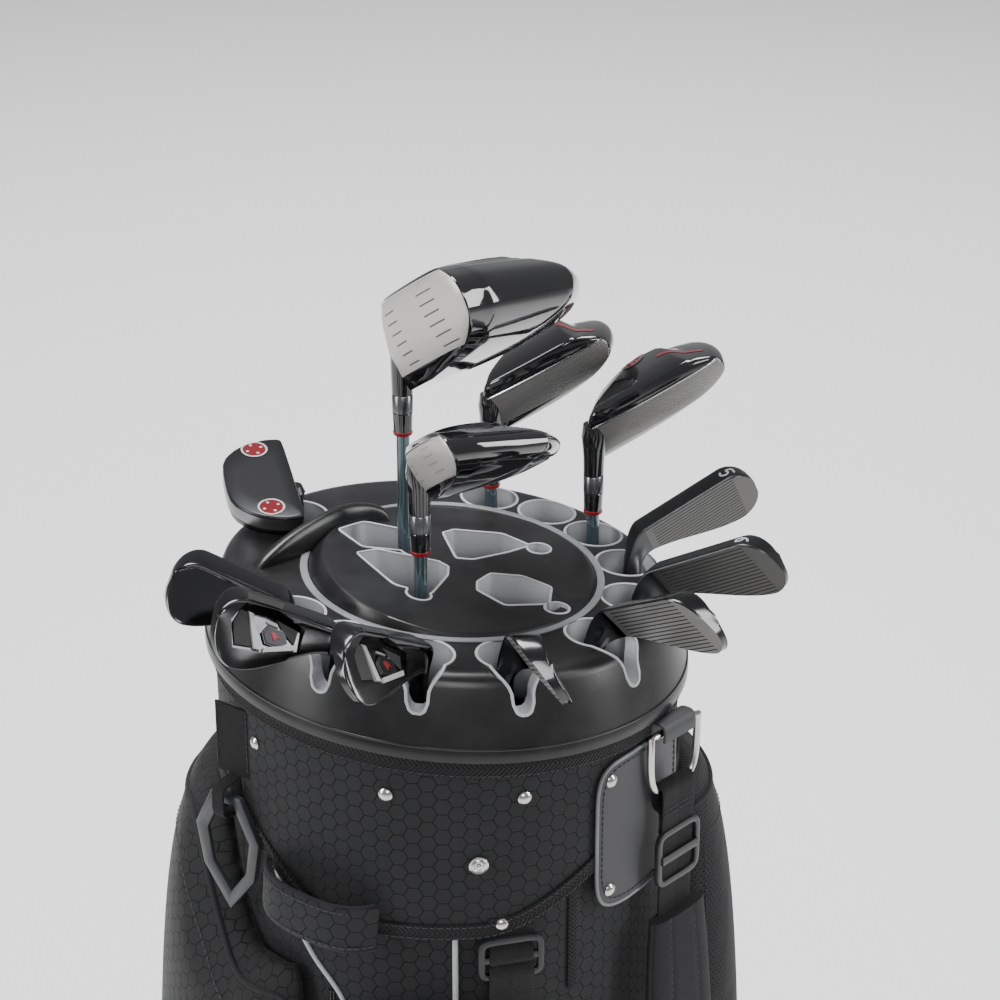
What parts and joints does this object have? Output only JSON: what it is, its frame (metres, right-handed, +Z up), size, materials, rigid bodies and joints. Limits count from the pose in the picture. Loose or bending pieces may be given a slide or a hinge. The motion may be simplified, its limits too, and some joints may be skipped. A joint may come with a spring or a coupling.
{
  "type": "golf club set in a cart bag",
  "caption": "Set of golf clubs standing grip-down in a round cart bag with a moulded full-length divider top, pockets and a shoulder strap.",
  "frame": {"origin": "centre of the flat underside of the bag's base, on the floor", "axes": "+Z up along the bag and the club shafts, -Y towards the side with the ball pocket and front strap, +X towards the shoulder strap side"},
  "size_m": [0.4471, 0.4028, 1.2009],
  "materials": {
    "moulded_plastic": "satin moulded, black",
    "grey_trim": "soft grey",
    "bag_fabric": "ripstop with a honeycomb weave",
    "webbing": "woven webbing and padded cloth",
    "patch_leather": "synthetic leather",
    "nickel": "polished nickel plate",
    "black_steel": "dark satin plating",
    "putter_black": "black anodised",
    "wood_gloss_black": "gloss black lacquer",
    "shaft_grey": "metallic blue-grey lacquer on carbon fibre",
    "grip_rubber": "soft textured rubber"
  },
  "bodies": {
    "bag": {"base_cup": "moulded_plastic", "body_tube": "bag_fabric", "upper_cuff": "bag_fabric", "divider_sleeve": "bag_fabric", "stay_rod_rear": "nickel", "stay_rod_left": "nickel", "divider_top": "moulded_plastic", "deck_trim": "grey_trim", "pocket_garment_left": "bag_fabric", "pocket_garment_right": "bag_fabric", "pocket_ball_front": "bag_fabric", "pocket_cooler_front": "bag_fabric", "strap_patch": "patch_leather", "d_ring_tab": "patch_leather", "front_buckle": "moulded_plastic", "ring_tab": "webbing", "grab_handle": "bag_fabric"},
    "shoulder_strap": {"strap_d_ring": "nickel", "strap_webbing": "webbing", "strap_slider": "moulded_plastic", "strap_pad": "webbing"},
    "towel_ring": {"towel_ring": "moulded_plastic"},
    "zip_left": {"zip_slider_left": "nickel"},
    "zip_right": {"zip_slider_right": "nickel"},
    "driver": {"driver_head": "wood_gloss_black", "driver_shaft": "shaft_grey", "driver_grip": "grip_rubber"},
    "wood3": {"wood3_head": "wood_gloss_black", "wood3_shaft": "shaft_grey", "wood3_grip": "grip_rubber"},
    "wood5": {"wood5_head": "wood_gloss_black", "wood5_shaft": "shaft_grey", "wood5_grip": "grip_rubber"},
    "hybrid": {"hybrid_head": "wood_gloss_black", "hybrid_shaft": "shaft_grey", "hybrid_grip": "grip_rubber"},
    "iron5": {"iron5_head": "black_steel", "iron5_shaft": "shaft_grey", "iron5_grip": "grip_rubber"},
    "iron6": {"iron6_head": "black_steel", "iron6_shaft": "shaft_grey", "iron6_grip": "grip_rubber"},
    "iron7": {"iron7_head": "black_steel", "iron7_shaft": "shaft_grey", "iron7_grip": "grip_rubber"},
    "iron8": {"iron8_head": "black_steel", "iron8_shaft": "shaft_grey", "iron8_grip": "grip_rubber"},
    "iron9": {"iron9_head": "black_steel", "iron9_shaft": "shaft_grey", "iron9_grip": "grip_rubber"},
    "wedge_pitching": {"wedge_pitching_head": "black_steel", "wedge_pitching_shaft": "shaft_grey", "wedge_pitching_grip": "grip_rubber"},
    "wedge_sand": {"wedge_sand_head": "black_steel", "wedge_sand_shaft": "shaft_grey", "wedge_sand_grip": "grip_rubber"},
    "putter": {"putter_head": "putter_black", "putter_shaft": "shaft_grey", "putter_grip": "grip_rubber"}
  },
  "joints": [
    {"name": "driver_lift", "type": "slide", "parent": "bag", "child": "driver", "axis": [0, 0, 1], "range_m": [0, 0.95]},
    {"name": "wood3_lift", "type": "slide", "parent": "bag", "child": "wood3", "axis": [0, 0, 1], "range_m": [0, 0.95]},
    {"name": "wood5_lift", "type": "slide", "parent": "bag", "child": "wood5", "axis": [0, 0, 1], "range_m": [0, 0.016]},
    {"name": "hybrid_lift", "type": "slide", "parent": "bag", "child": "hybrid", "axis": [0, 0, 1], "range_m": [0, 0.036]},
    {"name": "iron5_lift", "type": "slide", "parent": "bag", "child": "iron5", "axis": [0, 0, 1], "range_m": [0, 0.056]},
    {"name": "iron6_lift", "type": "slide", "parent": "bag", "child": "iron6", "axis": [0, 0, 1], "range_m": [0, 0.93]},
    {"name": "iron7_lift", "type": "slide", "parent": "bag", "child": "iron7", "axis": [0, 0, 1], "range_m": [0, 0.93]},
    {"name": "iron8_lift", "type": "slide", "parent": "bag", "child": "iron8", "axis": [0, 0, 1], "range_m": [0, 0.93]},
    {"name": "iron9_lift", "type": "slide", "parent": "bag", "child": "iron9", "axis": [0, 0, 1], "range_m": [0, 0.93]},
    {"name": "wedge_pitching_lift", "type": "slide", "parent": "bag", "child": "wedge_pitching", "axis": [0, 0, 1], "range_m": [0, 0.93]},
    {"name": "wedge_sand_lift", "type": "slide", "parent": "bag", "child": "wedge_sand", "axis": [0, 0, 1], "range_m": [0, 0.93]},
    {"name": "putter_lift", "type": "slide", "parent": "bag", "child": "putter", "axis": [0, 0, 1], "range_m": [0, 0.93]},
    {"name": "strap_swing", "type": "hinge", "parent": "bag", "child": "shoulder_strap", "pos_m": [0.15459, -0.07877, 0.886], "axis": [-0.454, -0.891, 0], "range_deg": [0, 20]},
    {"name": "towel_ring_swing", "type": "hinge", "parent": "bag", "child": "towel_ring", "pos_m": [-0.14615, -0.08781, 0.836], "axis": [-0.515, 0.8572, 0], "range_deg": [0, 60]},
    {"name": "zip_left_pull", "type": "slide", "parent": "bag", "child": "zip_left", "axis": [0, 0, -1], "range_m": [0, 0.45]},
    {"name": "zip_right_pull", "type": "slide", "parent": "bag", "child": "zip_right", "axis": [0, 0, -1], "range_m": [0, 0.5]}
  ]
}
